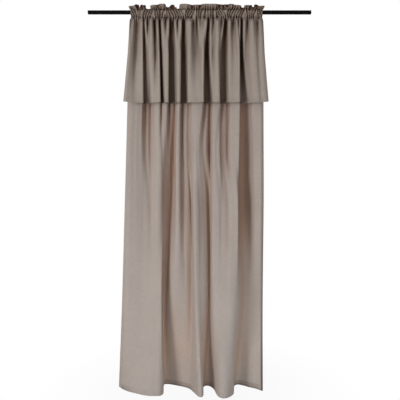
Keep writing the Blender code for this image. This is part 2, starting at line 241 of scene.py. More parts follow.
# Painted shade that the folds alone don't give: in the pocket, under it and inside the frill. A DEPTH
# makes the painted shade of the folds there count for more.
HEADING_SHADE = 0.19
UNDER_SHADE = 0.09
CAVITY_SHADE = 0.75
HEADING_DEPTH = 0.5
UNDER_DEPTH = 0.5
FRILL_DEPTH = 3.5

# Painted light from the floor on the low cloth, from LOW_FROM down and fully LOW_REACH further on. The
# same share deepens the painted shade on the cloth's right edge.
LOW_FROM = -1.2
LOW_REACH = 1.1
FLOOR_TONE = 0.45
COOL = (0.74, 0.9, 1.0)


def metres(name, description, default):
    return FloatProperty(name=name, description=description, default=default, unit="LENGTH")


def watts(name, description, default):
    return FloatProperty(name=name, description=description, default=default, unit="POWER")


def linear(name, description, default):
    return FloatVectorProperty(
        name=name, description=description, default=default, size=3, subtype="COLOR"
    )


class CurtainSizes(bpy.types.PropertyGroup):
    """The sizes of the cloths, the rod and the stitches."""

    rod_diameter: metres("Rod diameter", "Outside of the tube", 0.025)
    rod_wall: metres("Rod wall", "Thickness of the tube", 0.001)
    cap_flange: metres("Cap flange", "What shows of an end cap", 0.003)
    thickness: metres("Cloth", "Thickness of one layer", 0.0008)
    flat_width: metres("Flat width", "Width of both cloths, ungathered", 1.4)
    gathered_width: metres("Gathered width", "Length of the stitches", GATHERED_WIDTH)
    frill_spread: metres("Frill spread", "How far the frill passes the stitches at each end", 0.014)
    stitches_above: metres("Stitches above", "Height of the upper row over the rod's axis", 0.0162)
    stitches_below: metres("Stitches below", "Depth of the lower row under the rod's axis", 0.0310)
    sewn_apart: metres("Sewn apart", "Between the middles of the cloths at the stitches", 0.0024)
    pocket_puff: metres("Pocket puff", "How far gathers stand off the rod", 0.0165)
    seam_wave: metres("Seam wave", "How far the gathers swing at the stitches", 0.0065)
    valance_drop: metres("Valance drop", "From the rod's axis to its hem", 0.565)
    panel_drop: metres("Panel drop", "From the rod's axis to its hem", 2.340)
    valance_hem: metres("Valance hem", "Height of the valance's hem", 0.036)
    panel_hem: metres("Panel hem", "Height of the panel's hem", 0.030)
    side_hem: metres("Side hem", "Width of the side hems", 0.020)
    stitch: metres("Stitch", "Length of a stitch and its gap", 0.0034)
    thread: metres("Thread", "Diameter of the thread", 0.0005)
    columns: IntProperty(
        name="Columns", description="Faces across each cloth", default=436, min=100, max=440
    )


class CurtainColours(bpy.types.PropertyGroup):
    """The colours of the finishes, as linear values."""

    panel: linear("Panel", "The long cloth", (0.420, 0.356, 0.316))
    valance: linear("Valance", "The short cloth", (0.384, 0.323, 0.278))
    # The fold colours are painted shade, multiplied into the cloths in their folds and creases.
    panel_fold_shade: linear("Panel fold", "Multiplies the long cloth in its folds", (0.75, 0.455, 0.32))
    valance_fold_shade: linear("Valance fold", "Multiplies the short cloth in its folds", (0.205, 0.114, 0.069))
    rod: linear("Rod", "The rod's enamel", (0.002, 0.002, 0.0021))
    caps: linear("Caps", "The end caps' plastic", (0.003, 0.003, 0.0032))
    room: linear("Room", "The background", (1.0, 1.0, 1.0))


class CurtainStage(bpy.types.PropertyGroup):
    """The camera, the lamps and the floor."""

    distance: metres("Distance", "From the camera to the rod", 2.70)
    height: metres("Height", "Of the camera, from the rod", -0.951)
    aside: metres("Aside", "Of the camera, from the rod's middle", 0.003)
    lens: FloatProperty(
        name="Lens", description="Focal length on a 36 mm sensor", default=39.24, unit="CAMERA"
    )
    shift: FloatProperty(
        name="Shift", description="Vertical shift that frames the whole drop", default=-0.085
    )
    key_power: watts("Key lamp", "Power of the large lamp on the left", 112.0)
    fill_power: watts("Fill lamp", "Power of the lamp on the right", 18.0)
    foot_power: watts("Foot lamp", "Power of the low lamp in front", 9.0)
    back_power: watts("Back lamp", "Power of the lamp behind", 22.0)
    room_light: FloatProperty(
        name="Room light", description="Strength of the light all round", default=0.32
    )
    floor_gap: metres("Floor gap", "From the hem to the floor", 0.03)


class Wire:
    """A shader socket that Python's operators work on."""

    def __init__(self, look, socket):
        self.look = look
        self.socket = socket

    def maths(self, operation, *values):
        return self.look.node("ShaderNodeMath", {"operation": operation}, values)

    def __add__(self, other):
        return self.maths("ADD", self, other)

    def __sub__(self, other):
        return self.maths("SUBTRACT", self, other)

    def __rsub__(self, other):
        return self.maths("SUBTRACT", other, self)

    def __mul__(self, other):
        return self.maths("MULTIPLY", self, other)

    def __truediv__(self, other):
        return self.maths("DIVIDE", self, other)

    __radd__ = __add__
    __rmul__ = __mul__

    def clamped(self, most=1.0):
        return self.look.node("ShaderNodeClamp", {}, {"Value": self, "Max": most})


class Look:
    """A material being made, with its nodes added one by one."""

    def __init__(self, name, **constants):
        self.material = bpy.data.materials.new(name)
        self.material.use_nodes = True
        self.tree = self.material.node_tree
        self.shader = self.tree.nodes["Principled BSDF"]
        for socket, value in constants.items():
            self.shader.inputs[socket.replace("_", " ")].default_value = value

    def feed(self, socket, value):
        if isinstance(value, Wire):
            self.tree.links.new(value.socket, socket)
        else:
            socket.default_value = value

    def node(self, kind, settings, values, output=0):
        made = self.tree.nodes.new(kind)
        for name, value in settings.items():
            setattr(made, name, value)
        named = values.items() if isinstance(values, dict) else enumerate(values)
        for key, value in named:
            self.feed(made.inputs[key], value)
        return Wire(self, made.outputs[output])

    def noise(self, vector, scale, detail=2.0, roughness=0.5):
        inputs = {"Vector": vector, "Scale": scale, "Detail": detail, "Roughness": roughness}
        return self.node("ShaderNodeTexNoise", {}, inputs)

    def object_place(self):
        return self.node("ShaderNodeTexCoord", {}, (), 3)

    def axis(self, vector, index):
        return self.node("ShaderNodeSeparateXYZ", {}, (vector,), index)

    def mark(self, name):
        return self.node("ShaderNodeAttribute", {"attribute_name": name}, (), 2)

    def stretched(self, vector, scales):
        return self.node("ShaderNodeVectorMath", {"operation": "MULTIPLY"}, (vector, scales))

    def mix(self, factor, first, second, blend="MIX"):
        inputs = {0: factor, 6: first, 7: second}
        return self.node("ShaderNodeMix", {"data_type": "RGBA", "blend_type": blend}, inputs, 2)

    def bump(self, height, distance, strength=1.0):
        inputs = {"Strength": strength, "Distance": distance, "Height": height}
        return self.node("ShaderNodeBump", {}, inputs)

    def finish(self, colour=None, roughness=None, normal=None):
        for name, value in (("Base Color", colour), ("Roughness", roughness), ("Normal", normal)):
            if value is not None:
                self.feed(self.shader.inputs[name], value)
        return self.material


def solid(colour, share=1.0):
    return (colour[0] * share, colour[1] * share, colour[2] * share, 1.0)


def woven_cloth(name, colour, fold_shade_colour, fold_shade_gain, fold_shade_most):
    """Plain-woven cloth. The map "flat" is in metres on the flat cloth. The fold attribute is painted
    shade, 1 deep in a fold or a crease. There the cloth is multiplied by the fold colour, a painted shade
    colour, at the given gain and up to the given most. Low down the folds take a painted warm floor light
    instead."""
    look = Look(
        name, Roughness=0.92, Specular_IOR_Level=0.08, Sheen_Weight=0.04, Sheen_Roughness=0.45
    )
    flat = look.node("ShaderNodeUVMap", {"uv_map": "flat"}, ())
    warp = look.axis(flat, 0) / THREAD_PITCH
    weft = look.axis(flat, 1) / THREAD_PITCH
    warp_round = warp.maths("SINE", warp.maths("FRACT", warp) * math.pi)
    weft_round = weft.maths("SINE", weft.maths("FRACT", weft) * math.pi)
    over = warp.maths("FLOOR", warp) + weft.maths("FLOOR", weft)
    over = over.maths("MODULO", over.maths("ABSOLUTE", over), 2.0)
    warp_height = warp_round * (0.45 + 0.55 * weft_round)
    weft_height = weft_round * (0.45 + 0.55 * warp_round)
    height = warp_height * over + weft_height * (1 - over)
    slub_along = look.noise(look.stretched(flat, (900.0, 26.0, 1.0)), 1.0)
    slub_across = look.noise(look.stretched(flat, (26.0, 900.0, 1.0)), 1.0)
    cloudy = look.noise(look.stretched(flat, (7.0, 5.0, 1.0)), 1.0, 3.0)
    fleck = look.noise(look.stretched(flat, (260.0, 170.0, 1.0)), 1.0, 3.0, 0.7)
    tone = 0.8 * slub_along + 0.8 * slub_across + 0.35 * cloudy + 1.45 * fleck - 1.2
    base = look.mix(tone.clamped(), solid(colour, 0.76), solid(colour, 1.24))
    # Painted shade between the threads, where the weave lies low.
    base = look.mix(0.20 * (1 - height), base, solid(colour, 0.55))
    # Painted shade in the folds and creases.
    fold_shade_amount = ((look.mark("painted_fold_shade") - 0.05) * fold_shade_gain).clamped(fold_shade_most)
    # Painted warm light from the floor replaces the painted fold shade on the low cloth.
    low = ((LOW_FROM - look.axis(look.object_place(), 2)) / LOW_REACH).clamped()
    fold_shade_or_floor_light = look.mix(0.95 * low, solid(fold_shade_colour), (1.44, 1.14, 0.94, 1.0))
    base = look.mix(fold_shade_amount, base, fold_shade_or_floor_light, "MULTIPLY")
    # Painted shade on the hems and along the cloth's right edge.
    base = look.mix(0.55 * look.mark("painted_hem_shade"), base, (0.25, 0.22, 0.2, 1.0), "MULTIPLY")
    relief = height * 0.6 + slub_along * 0.5 + slub_across * 0.5
    return look.finish(base, None, look.bump(relief, 0.00018, 0.5))


def sewing_thread(name, colour):
    """Twisted thread, a shade darker than the cloth."""
    look = Look(name, Roughness=0.6, Sheen_Weight=0.2)
    twist = look.noise(look.object_place(), 2600.0)
    return look.finish(look.mix(twist, solid(colour, 0.5), solid(colour, 0.85)))


def enamel(name, colour):
    """Powder coat on steel tube, with a fine orange peel."""
    look = Look(name, Specular_IOR_Level=0.04)
    place = look.object_place()
    peel = look.noise(place, 900.0, 3.0)
    dust = look.noise(look.stretched(place, (3.0, 40.0, 40.0)), 1.0, 3.0)
    base = look.mix(dust, solid(colour, 0.8), solid(colour, 1.6))
    return look.finish(base, 0.42 + 0.16 * dust, look.bump(peel, 0.00006, 0.6))


def moulded_plastic(name, colour):
    """Plastic with a spark-eroded grain."""
    look = Look(name, Specular_IOR_Level=0.05)
    grain = look.noise(look.object_place(), 2200.0, 2.0)
    base = look.mix(grain, solid(colour, 0.8), solid(colour, 1.3))
    return look.finish(base, 0.5 + 0.2 * grain, look.bump(grain, 0.00005, 0.7))


def curve_through(points):
    """A smooth open line through points, as short straight steps, with no loop where the
    points lie unevenly."""
    points = np.asarray(points, float)
    ends = np.vstack([2 * points[0] - points[1], points, 2 * points[-1] - points[-2]])
    pace = np.sqrt(np.linalg.norm(np.diff(ends, axis=0), axis=1))[:, None]
    speed = np.diff(ends, axis=0) / pace
    tangent = (speed[:-1] * pace[1:] + speed[1:] * pace[:-1]) / (pace[:-1] + pace[1:])
    start, end = points[:-1], points[1:]
    leave, arrive = tangent[:-1] * pace[1:-1], tangent[1:] * pace[1:-1]
    t = (np.arange(STEPS_PER_POINT) / STEPS_PER_POINT)[:, None, None]
    spans = hermite(t, start, leave, end, arrive)
    return np.vstack([spans.transpose(1, 0, 2).reshape(-1, points.shape[1]), points[-1:]])


def hermite(t, start, leave, end, arrive):
    return (
        start * (2 * t**3 - 3 * t**2 + 1)
        + leave * (t**3 - 2 * t**2 + t)
        + end * (3 * t**2 - 2 * t**3)
        + arrive * (t**3 - t**2)
    )


def lengths_along(line):
    return np.concatenate([[0.0], np.cumsum(np.linalg.norm(np.diff(line, axis=0), axis=1))])


def read(at, line, along):
    """The points of a line where its measure is at."""
    return np.stack([np.interp(at, along, line[:, k]) for k in range(line.shape[1])], axis=1)


def wander(place, pace, seed):
    """A slow random wave, mostly between -1 and 1."""
    random = np.random.default_rng(seed)
    total = np.zeros_like(place)
    for part in (0.5, 1.0, 1.7):
        total += np.sin(2 * math.pi * (pace * part * place + random.random())) / (1 + part)
    return total


class Section:
    """A line across the hanging cloth, with the places where its folds begin."""

    def __init__(self, folds, widen):
        points = np.array([point for fold in folds for point in fold], float) * MILLIMETRE
        points[:, 0] *= widen
        self.line = curve_through(points)
        self.along = lengths_along(self.line)
        first = np.cumsum([0] + [len(fold) for fold in folds[:-1]]) * STEPS_PER_POINT
        self.marks = np.append(self.along[first], self.along[-1])

    def at(self, shares, bounds):
        """The columns' points, with each fold's share of the cloth the same as in bounds."""
        return read(np.interp(shares, bounds, self.marks), self.line, self.along)


class Cloth:
    """One of the two cloths. side is 1 for the valance, in front, and -1 for the panel."""

    def __init__(self, sizes, side, sections):
        self.sizes = sizes
        self.side = side
        side_hem = sizes.side_hem / sizes.flat_width
        step = HEM_STEP / sizes.flat_width
        even = np.linspace(0.0, 1.0, sizes.columns - 3)
        edges = np.array([side_hem, side_hem + step, 1 - side_hem - step, 1 - side_hem])
        self.shares = np.sort(np.concatenate([even, edges]))
        widen = sizes.gathered_width / GATHERED_WIDTH
        made = [Section(folds, widen) for folds in (UNDER_STITCHES, *sections)]
        bounds = np.mean([section.marks / section.marks[-1] for section in made], axis=0)
        self.lines = [section.at(self.shares, bounds) for section in made]
        self.upper = sizes.stitches_above
        self.lower = -sizes.stitches_below
        first = self.lines[0][:, 0]
        near = 2 * EVEN_OUT + 1
        smooth = np.convolve(np.pad(first, EVEN_OUT, "edge"), np.ones(near), "valid")
        straight = np.linspace(first[0], first[-1], len(first))
        self.across = 0.8 * smooth / near + 0.2 * straight
        self.place = (self.across - straight[0]) / (straight[-1] - straight[0])
        self.rows = []

    def add(self, across, forward, z):
        """A row across the cloth, wandering near the stitches and clear of the rod."""
        heights = np.broadcast_to(z, across.shape)
        for seam in (self.upper, self.lower):
            near = np.exp(-(((heights - seam) / 0.01) ** 2))
            heights = heights + SEAM_WANDER * wander(self.place, 31, 5) * near
        reach = self.sizes.rod_diameter / 2 + self.sizes.thickness
        clear = np.sqrt(np.maximum(reach**2 - heights**2, 0.0))
        forward = np.where(clear > 0, self.side * np.maximum(self.side * forward, clear), forward)
        self.rows.append(np.column_stack([across, -forward, heights]))

    def gathers(self, t):
        """Where each column lies in the row of gathers, from the upper stitches, 0, to the
        lower ones, 1. Whole numbers are the creases."""
        uneven = self.place + 0.005 * wander(self.place, 13, 9)
        return GATHERS * uneven + LEAN * wander(self.place, 6, 21) * (t - 0.5)

    def seam(self, t):
        swing = -self.sizes.seam_wave * (1 + 0.2 * t) * np.cos(2 * math.pi * self.gathers(t))
        return swing * (1 + 0.5 * wander(self.place, 27, 7))

    def parted(self, line, half_gap):
        """A line moved half a gap to this cloth's side, and more where the line is steep."""
        return line + self.side * half_gap * np.hypot(1.0, np.gradient(line, self.across))

    def add_frill(self):
        knots = np.array(FRILL_TOP, float) * MILLIMETRE
        knots[:, 0] *= self.sizes.gathered_width / GATHERED_WIDTH
        top = curve_through(knots)
        middle = self.across.mean()
        spread = (self.across - middle) / (self.across[-1] - middle) * self.sizes.frill_spread
        _, height, forward = read(self.across + spread, top, top[:, 0]).T
        height = height - FRILL_DIP * forward
        forward = forward * FRILL_SWING
        slope = np.gradient(forward, self.across)
        loop = LOOPS * forward * slope / (1 + np.abs(slope))
        seam = self.seam(0)
        for t in FRILL_ROWS:
            open_by = t**0.75
            line = seam * (1 - open_by) + forward * open_by
            line = self.parted(line, self.sizes.sewn_apart / 2 * (1 - open_by) + PARTED * open_by)
            self.add(self.across + spread * t**0.5 - loop * t, line, self.upper + height * t)

    def add_pocket(self):
        """The cloth between the stitches, round the rod, with its slanting creases."""
        clear = self.sizes.rod_diameter / 2 + 2 * self.sizes.thickness
        hug = curve_through(
            [
                (0.0, self.upper), (clear * 0.62, self.upper * 0.78), (clear, clear * 0.35),
                (clear, -clear * 0.35), (clear * 0.72, -clear * 1.1), (clear * 0.28, -clear * 1.8),
                (0.0, self.lower),
            ]
        )
        along = lengths_along(hug)
        heavy = 0.82 + 0.25 * wander(self.place, 19, 31 + self.side)
        half_gap = self.sizes.sewn_apart / 2
        upper_seam, lower_seam = (self.parted(self.seam(t), half_gap) for t in (0, 1))
        for t in np.linspace(0.0, 1.0, POCKET_ROWS, endpoint=False):
            out, z = read(np.array([t * along[-1]]), hug, along)[0]
            free = math.sin(math.pi * t) ** 0.5
            ridge = np.abs(np.sin(math.pi * self.gathers(t)))
            between = np.abs(np.sin(math.pi * (1.43 * self.gathers(1 - t) + 0.35)))
            puff = heavy * ridge * (0.6 + 0.4 * between)
            seam = upper_seam * (1 - t) + lower_seam * t
            forward = seam * (1 - free) + self.side * (out + self.sizes.pocket_puff * puff) * free
            sway = 0.0012 * free * np.sin(2 * math.pi * self.gathers(t))
            self.add(self.across + sway, forward, z)

    def add_hanging(self, stops, downs):
        """Rows from the lower stitches down. stops are how far down the sections lie, with
        0 for the stitches."""
        seam = self.parted(self.seam(1), self.sizes.sewn_apart / 2)
        lines = [np.stack([self.across, seam], axis=1), *self.lines]
        for down in downs:
            k = int(np.clip(np.searchsorted(stops, down, "right") - 1, 0, len(stops) - 2))
            t = (down - stops[k]) / (stops[k + 1] - stops[k])
            if k < 2:
                quick = 1 - (1 - t) ** EASE[k]
                line = lines[k] + (lines[k + 1] - lines[k]) * np.array([t if k else quick, quick])
            else:
                tangents = []
                for i in (k, k + 1):
                    before, after = max(i - 1, 2), min(i + 1, len(stops) - 1)
                    run = stops[after] - stops[before]
                    change = lines[after] - lines[before]
                    tangents.append(change * (stops[k + 1] - stops[k]) / run)
                line = hermite(t, lines[k], tangents[0], lines[k + 1], tangents[1])
            ripple = RIPPLE * min(1.0, down / 0.2) * wander(self.shares, 23, 41 + self.side)
            ripple = ripple * (0.6 + 0.4 * math.sin(3.1 * down + self.side))
            self.add(line[:, 0], line[:, 1] + ripple, self.lower - down)


def openness(line):
    """The share of the sky in front that each point of a section sees, from 0 to 1."""
    across = line[None, :, 0] - line[:, None, 0]
    ahead = line[None, :, 1] - line[:, None, 1]
    order = np.arange(len(line))
    to_right = order[None, :] > order[:, None]
    angle = np.where(to_right, 1, -1) * np.arctan2(across, ahead)
    angle = np.where((ahead > 0.0015) & (np.abs(across) < 0.15), angle, math.pi / 2)
    right = np.where(to_right, angle, math.pi / 2).min(axis=1)
    left = np.where(to_right, math.pi / 2, angle).min(axis=1)
    return np.clip((np.sin(left) + np.sin(right)) / 2, 0.0, 1.0)


def placed(name, data):
    made = bpy.data.objects.new(name, data)
    bpy.context.scene.collection.objects.link(made)
    return made


def rows_down(starts, counts, drop, hem):
    """How far down the rows lie: evenly from each start to the next, then as HEM_ROWS says."""
    ends = (*starts[1:], drop - 1.1 * hem)
    even = [np.linspace(*span, endpoint=False) for span in zip(starts, ends, counts)]
    return np.concatenate([*even, drop - hem * np.array(HEM_ROWS)])


def hems_and_painted_shade(cloth, flat, heights, hem):
    """Where the cloth is doubled by a hem, and the painted shade of each place. The shade lies on the
    doubled cloth, and is stronger at the hem's stitches and bottom edge and where the cloth lies further
    back. It is faint on the left side hem. It also runs along the right edge, stronger near the floor.
    """
    hanging = heights < cloth.lower - 0.002
    above_edge = heights - heights[-1]
    side = cloth.sizes.side_hem / cloth.sizes.flat_width + 1e-6
    beside = (cloth.shares <= side) | (cloth.shares >= 1 - side)
    doubled = np.zeros(flat.shape[:2])
    doubled[above_edge < hem * 1.01] = 0.5
    doubled[np.ix_(hanging, beside)] = 0.5
    hem_shade = doubled.copy()
    hem_shade[np.abs(above_edge - hem * HEM_STITCH) < 0.001] = 0.7
    hem_shade[above_edge < hem * 0.4] = 0.8
    hem_shade[above_edge < hem * 0.2] = 1.2
    hem_shade *= np.clip((0.04 + flat[:, :, 1]) / 0.06, 0.15, 1.0)
    hem_shade[:, cloth.shares <= side] *= 0.3
    low = np.clip((LOW_FROM - heights) / LOW_REACH, 0, 1)[:, None]
    hem_shade[:, cloth.shares > 0.992] = 0.3 + 1.7 * low
    return doubled, hem_shade


def paint_fold_shade(cloth, flat, heights, normal):
    """Painted shade for each place, from 0 to 1. It is deep where a place sees little of the sky in
    front, as in folds and creases. It is more in the pocket, under it and inside the frill, and more on
    the panel's faces turned from the key lamp. It is less near the floor.
    """
    seen = np.array([openness(np.column_stack([row[:, 0], -row[:, 1]])) for row in flat])
    heading = int((heights < cloth.lower - 0.002).argmax()) + 8
    for k in range(flat.shape[1]):
        rising = flat[:heading, k][::-1]
        seen[:heading, k] *= openness(np.column_stack([rising[:, 2], -rising[:, 1]]))[::-1]
    close = np.clip((heights - cloth.lower) / (cloth.upper - cloth.lower), 0, 1)[:, None] ** 2
    frill = np.clip((heights - cloth.upper) / 0.03, 0, 1)[:, None] ** 2
    below = cloth.lower - heights
    under = np.interp(below, (-0.01, 0.035, 0.1, 0.3), (0.0, 1.0, 0.65, 0.0))[:, None]
    seen = seen ** (1 + HEADING_DEPTH * close + FRILL_DEPTH * frill + UNDER_DEPTH * under)
    seen *= 1 - HEADING_SHADE * close - UNDER_SHADE * under
    hollow = np.clip((flat[:, :, 1] - 0.002) / 0.009, 0, 1)
    inside = np.clip((heights - cloth.upper - 0.006) / 0.012, 0, 1)[:, None]
    seen *= 1 - CAVITY_SHADE * hollow * inside
    away_from_key = np.clip(1.15 + 0.9 * normal[:, :, 0], 0.3, 1.0) if cloth.side < 0 else 1.0
    above_hem = heights + cloth.sizes.panel_drop
    near_floor = np.interp(above_hem, (0.02, 0.24), (0.45, 1.0))[:, None]
    return (1 - seen) * (away_from_key * near_floor)


def closed_faces(count, columns):
    """Faces of a front, a back and the rim between them, for count rows of points."""
    index = np.arange(count * columns).reshape(count, columns)
    far = index + count * columns
    a, b, c, d = index[:-1, :-1], index[:-1, 1:], index[1:, 1:], index[1:, :-1]
    quads = [np.stack([a, d, c, b], -1).reshape(-1, 4)]
    a, b, c, d = far[:-1, :-1], far[:-1, 1:], far[1:, 1:], far[1:, :-1]
    quads.append(np.stack([a, b, c, d], -1).reshape(-1, 4))
    rim = np.concatenate([index[0, :-1], index[:-1, -1], index[-1, :0:-1], index[:0:-1, 0]])
    after = np.roll(rim, -1)
    quads.append(np.stack([rim, after, after + count * columns, rim + count * columns], -1))
    return np.concatenate(quads)


def cloth_object(name, cloth, hem, corner_lift, look):
    """A closed sheet through the rows, with its hems turned to the back."""
    sizes = cloth.sizes
    flat = np.array(cloth.rows)
    edge = flat[-1, :, 2].mean()
    near_edge = np.clip(1 - (flat[:, :, 2] - edge) / 0.25, 0, 1) ** 2
    corner = np.clip(1 - np.minimum(cloth.shares, 1 - cloth.shares) / 0.05, 0, 1) ** 2
    flat[:, :, 2] += corner_lift * near_edge * corner
    count, columns = flat.shape[:2]
    across = np.gradient(flat, axis=1)
    down = np.gradient(flat, axis=0)
    normal = np.cross(down, across)
    normal /= np.maximum(np.linalg.norm(normal, axis=2), 1e-9)[:, :, None]
    heights = np.array([row[:, 2].mean() for row in cloth.rows])
    # Painted shade on the hems and the right edge, on both faces.
    doubled, hem_shade = hems_and_painted_shade(cloth, flat, heights, hem)
    front = flat + normal * (sizes.thickness / 2)
    back = flat - normal * (sizes.thickness * (0.5 + 2.4 * doubled))[:, :, None]
    points = np.concatenate([front.reshape(-1, 3), back.reshape(-1, 3)])
    mesh = bpy.data.meshes.new(name)
    mesh.from_pydata(points.tolist(), [], closed_faces(count, columns).tolist())
    steps = np.linalg.norm(np.diff(flat, axis=0), axis=2).mean(axis=1)
    fallen = np.concatenate([[0.0], np.cumsum(steps)])
    along = cloth.shares * sizes.flat_width
    where = np.stack(np.broadcast_arrays(along[None, :], fallen[:, None]), -1).reshape(-1, 2)
    where = np.concatenate([where, where])
    layer = mesh.uv_layers.new(name="flat")
    loops = np.zeros(len(mesh.loops), int)
    mesh.loops.foreach_get("vertex_index", loops)
    layer.data.foreach_set("uv", where[loops].ravel())
    # Painted shade in the folds, on the front face only.
    painted_fold_shade = paint_fold_shade(cloth, flat, heights, normal)
    no_painted_shade_behind = np.zeros_like(painted_fold_shade)
    for attribute, values in (("painted_fold_shade", (painted_fold_shade, no_painted_shade_behind)), ("painted_hem_shade", (hem_shade, hem_shade))):
        data = mesh.attributes.new(attribute, "FLOAT", "POINT").data
        data.foreach_set("value", np.concatenate([half.ravel() for half in values]))
    mesh.materials.append(look)
    mesh.validate()
    mesh.shade_smooth()
    return placed(name, mesh), front


def path_object(name, paths):
    """Chains of edges, one for each row of stitches."""
    points, edges = [], []
    for path in paths:
        start = len(points)
        points += [tuple(point) for point in path]
        edges += [(start + i, start + i + 1) for i in range(len(path) - 1)]
    mesh = bpy.data.meshes.new(name)
    mesh.from_pydata(points, edges, [])
    return placed(name, mesh)


def stitch_tree():
    """Geometry Nodes that sew a stitch at each step along every chain of edges."""
    tree = bpy.data.node_groups.new("stitches", "GeometryNodeTree")
    sockets = tree.interface
    sockets.new_socket("Geometry", in_out="INPUT", socket_type="NodeSocketGeometry")
    for name in ("Pitch", "Thread"):
        sockets.new_socket(name, in_out="INPUT", socket_type="NodeSocketFloat")
    sockets.new_socket("Material", in_out="INPUT", socket_type="NodeSocketMaterial")
    sockets.new_socket("Geometry", in_out="OUTPUT", socket_type="NodeSocketGeometry")

    def add(kind, **settings):
        made = tree.nodes.new(kind)
        for key, value in settings.items():
            setattr(made, key, value)
        return made

    given = add("NodeGroupInput")
    result = add("NodeGroupOutput")
    chains = add("GeometryNodeMeshToCurve")
    steps = add("GeometryNodeCurveToPoints", mode="LENGTH")
    ball = add("GeometryNodeMeshUVSphere")
    ball.inputs["Segments"].default_value = 6
    ball.inputs["Rings"].default_value = 5
    ball.inputs["Radius"].default_value = 0.5
    length = add("ShaderNodeMath", operation="MULTIPLY")
    length.inputs[1].default_value = 0.74
    size = add("ShaderNodeCombineXYZ")
    shape = add("GeometryNodeTransform")
    place = add("GeometryNodeInstanceOnPoints")
    real = add("GeometryNodeRealizeInstances")
    smooth = add("GeometryNodeSetShadeSmooth")
    dress = add("GeometryNodeSetMaterial")
    for source, output, target, socket in (
        (given, "Geometry", chains, "Mesh"),
        (chains, "Curve", steps, "Curve"),
        (given, "Pitch", steps, "Length"),
        (given, "Pitch", length, 0),
        (given, "Thread", size, "X"),
        (given, "Thread", size, "Y"),
        (length, 0, size, "Z"),
        (ball, "Mesh", shape, "Geometry"),
        (size, "Vector", shape, "Scale"),
        (steps, "Points", place, "Points"),
        (steps, "Rotation", place, "Rotation"),
        (shape, "Geometry", place, "Instance"),
        (place, "Instances", real, "Geometry"),
        (real, "Geometry", smooth, "Geometry"),
        (smooth, "Geometry", dress, "Geometry"),
        (given, "Material", dress, "Material"),
        (dress, "Geometry", result, "Geometry"),
    ):
        tree.links.new(source.outputs[output], target.inputs[socket])
    return tree


def sew(name, paths, sizes, look):
    """Stitches along paths, as one plain mesh."""
    guide = path_object(name + "_guide", paths)
    tree = bpy.data.node_groups.get("stitches") or stitch_tree()
    modifier = guide.modifiers.new("stitches", "NODES")
    modifier.node_group = tree
    values = {"Pitch": sizes.stitch, "Thread": sizes.thread, "Material": look}
    for item in tree.interface.items_tree:
        if item.in_out == "INPUT" and item.name in values:
            modifier[item.identifier] = values[item.name]
    shown = guide.evaluated_get(bpy.context.evaluated_depsgraph_get())
    sewn = bpy.data.meshes.new_from_object(shown)
    sewn.name = name
    bpy.data.objects.remove(guide)
    return placed(name, sewn)


def seam_paths(cloth, front, heights, off):
    """Paths for stitches along rows of the cloth, off its surface."""
    levels = np.array([row[:, 2].mean() for row in cloth.rows])
    return [front[np.abs(levels - height).argmin()] + off for height in heights]


class CURTAIN_OT_valance(bpy.types.Operator):
    """Make the short front cloth with its frill, pocket and hem"""

    bl_idname = "curtain.valance"
    bl_label = "Valance"

    def execute(self, context):
        sizes, colours = context.scene.curtain_sizes, context.scene.curtain_colours
        cloth = Cloth(sizes, 1, (VALANCE_MIDDLE, VALANCE_HEM))
        drop = sizes.valance_drop - sizes.stitches_below
        downs = rows_down((0.0, SETTLED), (9, 34), drop, sizes.valance_hem)
        cloth.add_frill()
        cloth.add_pocket()
        cloth.add_hanging((0.0, SETTLED, VALANCE_MIDDLE_AT * drop, drop), downs)
        look = woven_cloth("valance cloth", colours.valance, colours.valance_fold_shade, 1.6, 1.0)
        made, front = cloth_object("valance_cloth", cloth, sizes.valance_hem, 0.006, look)
        hem_seams = [share * sizes.valance_hem - sizes.valance_drop for share in (HEM_STITCH, 0.5)]
        heights = (cloth.upper, cloth.lower, *hem_seams)
        seams = seam_paths(cloth, front, heights, np.array([0.0, -STITCH_LIFT, 0.0]))
        sewn = sew("valance_stitches", seams, sizes, sewing_thread("valance thread", colours.valance))
        for piece in (made, sewn):
            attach(piece, "root")
        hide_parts("valance")
        return {"FINISHED"}


class CURTAIN_OT_panel(bpy.types.Operator):
    """Make the long cloth with its frill, pocket and hems"""

    bl_idname = "curtain.panel"
    bl_label = "Main panel"

    def execute(self, context):
        sizes, colours = context.scene.curtain_sizes, context.scene.curtain_colours
        sections = (
            PANEL_AT_VALANCE_HEM, PANEL_BELOW_VALANCE, PANEL_ABOVE_MIDDLE, PANEL_BELOW_MIDDLE,
            PANEL_HEM,
        )
        cloth = Cloth(sizes, -1, sections)
        under = cloth.lines[0]
        under[:, 1] = -PANEL_BEHIND + PANEL_SHALLOWER * (under[:, 1] - 0.004)
        behind = sizes.valance_drop - sizes.stitches_below
        drop = sizes.panel_drop - sizes.stitches_below
        free = drop - behind
        between = [behind + share * free for share in PANEL_SECTIONS_AT]
        stops = (0.0, SETTLED, behind, *between, drop)
        downs = rows_down((0.0, SETTLED, behind), (9, 16, 44), drop, sizes.panel_hem)
        cloth.add_frill()
        cloth.add_pocket()
        cloth.add_hanging(stops, downs)
        look = woven_cloth("panel cloth", colours.panel, colours.panel_fold_shade, 2.2, 0.72)
        made, front = cloth_object("panel_cloth", cloth, sizes.panel_hem, 0.0, look)
        behind_cloth = np.array([0.0, sizes.thickness + STITCH_LIFT, 0.0])
        before_cloth = np.array([0.0, -STITCH_LIFT, 0.0])
        seams = seam_paths(cloth, front, (cloth.upper, cloth.lower), behind_cloth)
        hem_seam = HEM_STITCH * sizes.panel_hem - sizes.panel_drop
        seams += seam_paths(cloth, front, (hem_seam,), before_cloth)
        hanging = front[:, 0, 2] < cloth.lower - 0.01
        inner = int(np.searchsorted(cloth.shares, (sizes.side_hem - 0.002) / sizes.flat_width))
        seams.append(front[hanging, inner] + before_cloth)
        seams.append(front[hanging, len(cloth.shares) - 1 - inner] + before_cloth)
        sewn = sew("panel_stitches", seams, sizes, sewing_thread("panel thread", colours.panel))
        for piece in (made, sewn):
            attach(piece, "root")
        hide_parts("main_panel")
        return {"FINISHED"}


